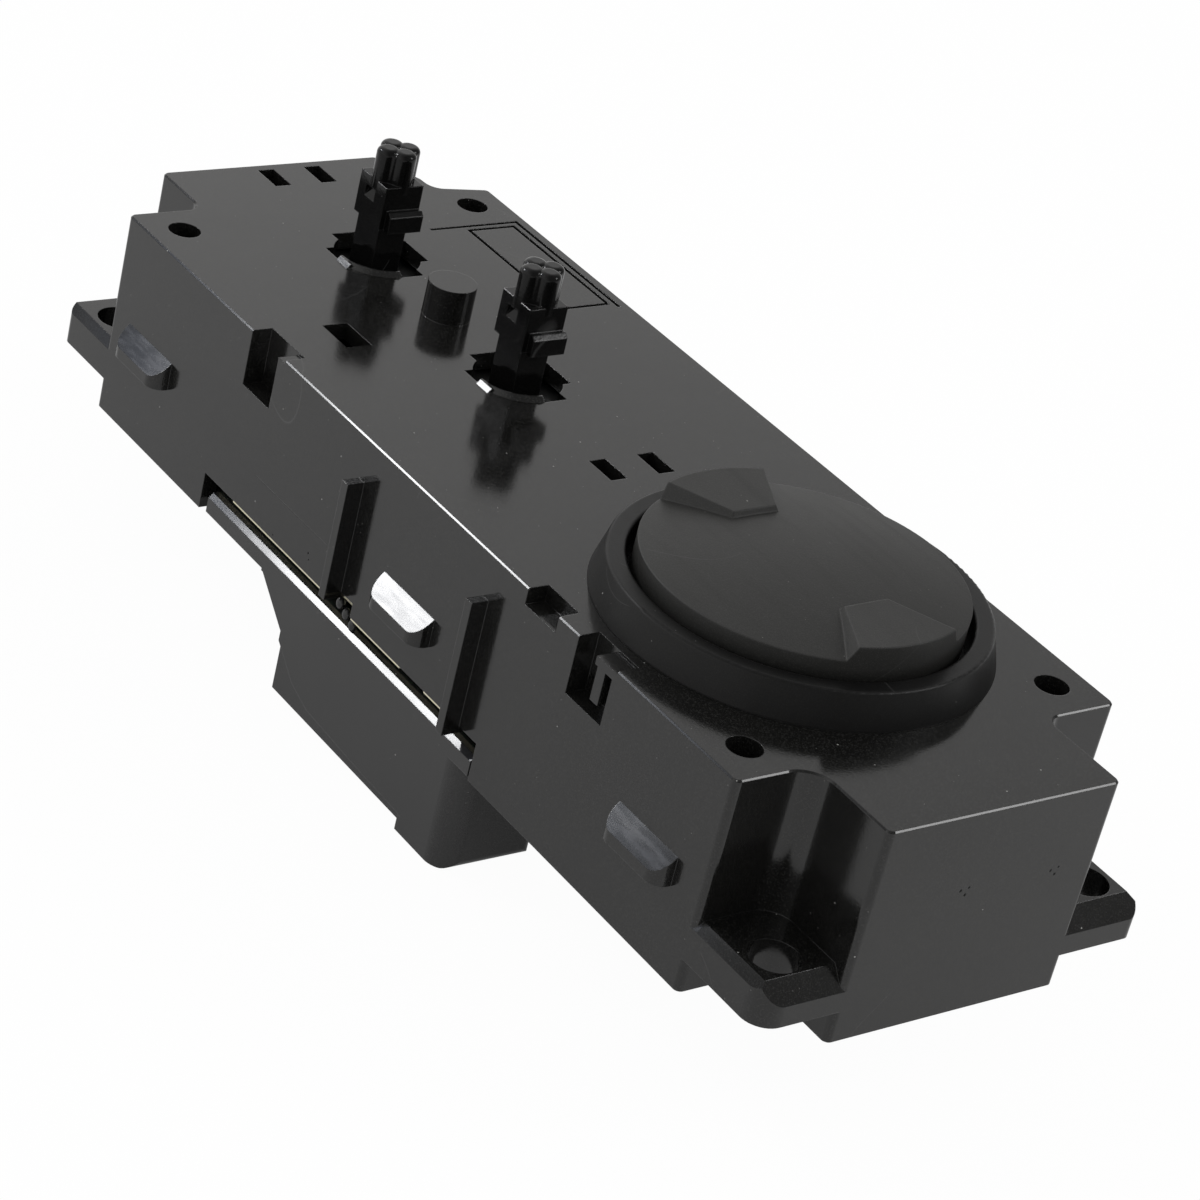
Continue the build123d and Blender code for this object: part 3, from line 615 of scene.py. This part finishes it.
def makeTongues():
    shape = bmesh.new()
    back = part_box("circuit_board")[0].y + tongues["overlap"]
    for start, end in tongues["spans"]:
        solidBox(shape, Vector((start, tongues["front"], tongues["under"] - tongues["thick"])),
                 Vector((end, back, tongues["under"])))
    mesh = bpy.data.meshes.new("boardTongues")
    shape.to_mesh(mesh)
    shape.free()
    addPiece("board_tongues", mesh, "board_green", smooth=False)


makeSolder()
makeLatchBeads()
makeEjectorMarks()
makeTongues()
print("own pieces made")


# floor, surround and lamps: a plain white studio
studio = {
    "floorUnder": 0.0001,
    "floorSize": 6.0,
    "floorColour": 0.80,
    "floorRough": 0.9,
    "floorGrain": 120.0,
    "floorShade": 0.985,                 # the grain's darker tone
    "floorShown": 0.97,                  # share of plain white that the camera sees on the floor
    "floorMirrored": 0.32,               # share of plain light that reflections see there, and how white
    "mirroredWhite": 0.78,
    "surroundWarm": 0.006,
    "surroundForLight": 0.80,
    "surroundDim": 0.25,                 # reflections of the surround run from dim to bright
    "surroundBright": 1.0,
    "brightSide": (-0.76, -0.52, -0.38),
    "brightSpan": (-0.50, 0.26),
    "darkLevel": 0.30,                   # and are darker behind the key lamp
    "darkSide": (-0.65, -0.49, 0.58),
    "darkSpan": (0.92, 0.98),
    "lampPlace": (-0.618, -0.466, 0.510),
    "lampAlong": (0.229, -0.076, 0.082),
    "lampStep": 0.01,                    # each lamp stands this much farther off than the one before
    "lamps": {
        "key": {"size": (0.105, 0.140), "power": 1.25, "tint": (1.0, 1.0, 1.0), "raised": 0.025},
        "upper": {"size": (0.16, 0.03), "power": 0.40, "tint": (1.0, 1.0, 1.0), "raised": 0.110,
                  "aside": -0.065},
        "halo": {"size": (0.262, 0.16), "power": 0.165, "tint": (0.66, 0.76, 1.0), "raised": 0.020},
        "back": {"size": (0.30, 0.30), "power": 2.0, "tint": (1.0, 1.0, 1.0), "place": (0.49, 0.62, 0.59)},
    },
}


def makeFloor():
    finish = Finish("floorWhite")
    size = studio["floorSize"] / 2
    plane = bpy.data.meshes.new("floor")
    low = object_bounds()[0].z - studio["floorUnder"]
    corners = [(sx * size, sy * size, low) for sx, sy in ((-1, -1), (1, -1), (1, 1), (-1, 1))]
    plane.from_pydata(corners, [], [(0, 1, 2, 3)])
    pale = studio["floorColour"]
    grain = finish.noise(studio["floorGrain"], 3.0)
    tone = finish.colour(grain, grey(pale), grey(pale * studio["floorShade"]))
    matt = finish.node("ShaderNodeBsdfPrincipled", None, {
        "Base Color": tone, "Roughness": studio["floorRough"]})
    white, dimmer = [finish.node("ShaderNodeEmission", None, {"Color": grey(1.0), "Strength": strength})
                     for strength in (1.0, studio["mirroredWhite"])]
    seen = finish.blend(finish.ray("Is Camera Ray") * studio["floorShown"], matt, white)
    mixed = finish.blend(finish.ray("Is Glossy Ray") * studio["floorMirrored"], seen, dimmer)
    finish.node("ShaderNodeOutputMaterial", None, {"Surface": mixed}, out=None)
    plane.materials.append(finish.material)
    floor = bpy.data.objects.new("floor", plane)
    bpy.context.scene.collection.objects.link(floor)


# white to the camera, even for light, and shaded from side to side in reflections
def makeSurround():
    world = bpy.data.worlds.new("surround")
    bpy.context.scene.world = world
    world.use_nodes = True
    world.node_tree.nodes.clear()
    tree = Tree(world.node_tree)
    direction = tree.node("ShaderNodeTexCoord", out="Generated")

    def plain(level):
        sockets = {"Color": grey(1.0, studio["surroundWarm"]), "Strength": level}
        return tree.node("ShaderNodeBackground", None, sockets)

    def toward(side, span):
        return tree.ramp(tree.vectors("DOT_PRODUCT", {0: direction, 1: side}, "Value"), *span)

    bright = toward(studio["brightSide"], studio["brightSpan"])
    dark = toward(studio["darkSide"], studio["darkSpan"])
    mirrored = tree.blend(bright, plain(studio["surroundDim"]), plain(studio["surroundBright"]))
    mirrored = tree.blend(dark, mirrored, plain(studio["darkLevel"]))
    lit = tree.blend(tree.ray("Is Glossy Ray"), plain(studio["surroundForLight"]), mirrored)
    shown = tree.blend(tree.ray("Is Camera Ray"), lit, plain(1.0))
    tree.node("ShaderNodeOutputWorld", None, {"Surface": shown}, out=None)


# two small lamps with a wider dim one behind them, and a large one on the far side
def makeLamps():
    along = Vector(studio["lampAlong"]).normalized()
    for step, (name, look) in enumerate(studio["lamps"].items()):
        place = Vector(look.get("place", studio["lampPlace"]))
        out = place.normalized()
        up = out.cross(along).normalized()
        side = up.cross(out)
        place += out * step * studio["lampStep"]
        place += up * look.get("raised", 0.0) + side * look.get("aside", 0.0)
        lamp = bpy.data.lights.new(name, "AREA")
        lamp.shape = "RECTANGLE"
        lamp.size, lamp.size_y = look["size"]
        lamp.energy = look["power"]
        lamp.color = look["tint"]
        box = bpy.data.objects.new(name, lamp)
        box.matrix_world = Matrix.Translation(place) @ Matrix((side, up, out)).transposed().to_4x4()
        bpy.context.scene.collection.objects.link(box)


# The photograph's viewpoint, with the camera's right and up axes.
view = {
    "place": (0.28334, -0.24967, 0.21318),
    "right": (0.5604, 0.7997, 0.2152),
    "up": (-0.5145, 0.1326, 0.8472),
    "lens": 111.44,
    "sensor": 36.0,
    "near": 0.01,
    "far": 20.0,
}


def makeCamera():
    eye = bpy.data.cameras.new("eye")
    eye.lens, eye.sensor_width = view["lens"], view["sensor"]
    eye.clip_start, eye.clip_end = view["near"], view["far"]
    camera = bpy.data.objects.new("eye", eye)
    right = Vector(view["right"]).normalized()
    backward = right.cross(Vector(view["up"])).normalized()
    turned = Matrix((right, backward.cross(right), backward)).transposed().to_4x4()
    camera.matrix_world = Matrix.Translation(view["place"]) @ turned
    bpy.context.scene.collection.objects.link(camera)
    bpy.context.scene.camera = camera


makeFloor()
makeSurround()
makeLamps()
makeCamera()
bpy.context.scene.view_settings.view_transform = "Standard"
print("studio ready")
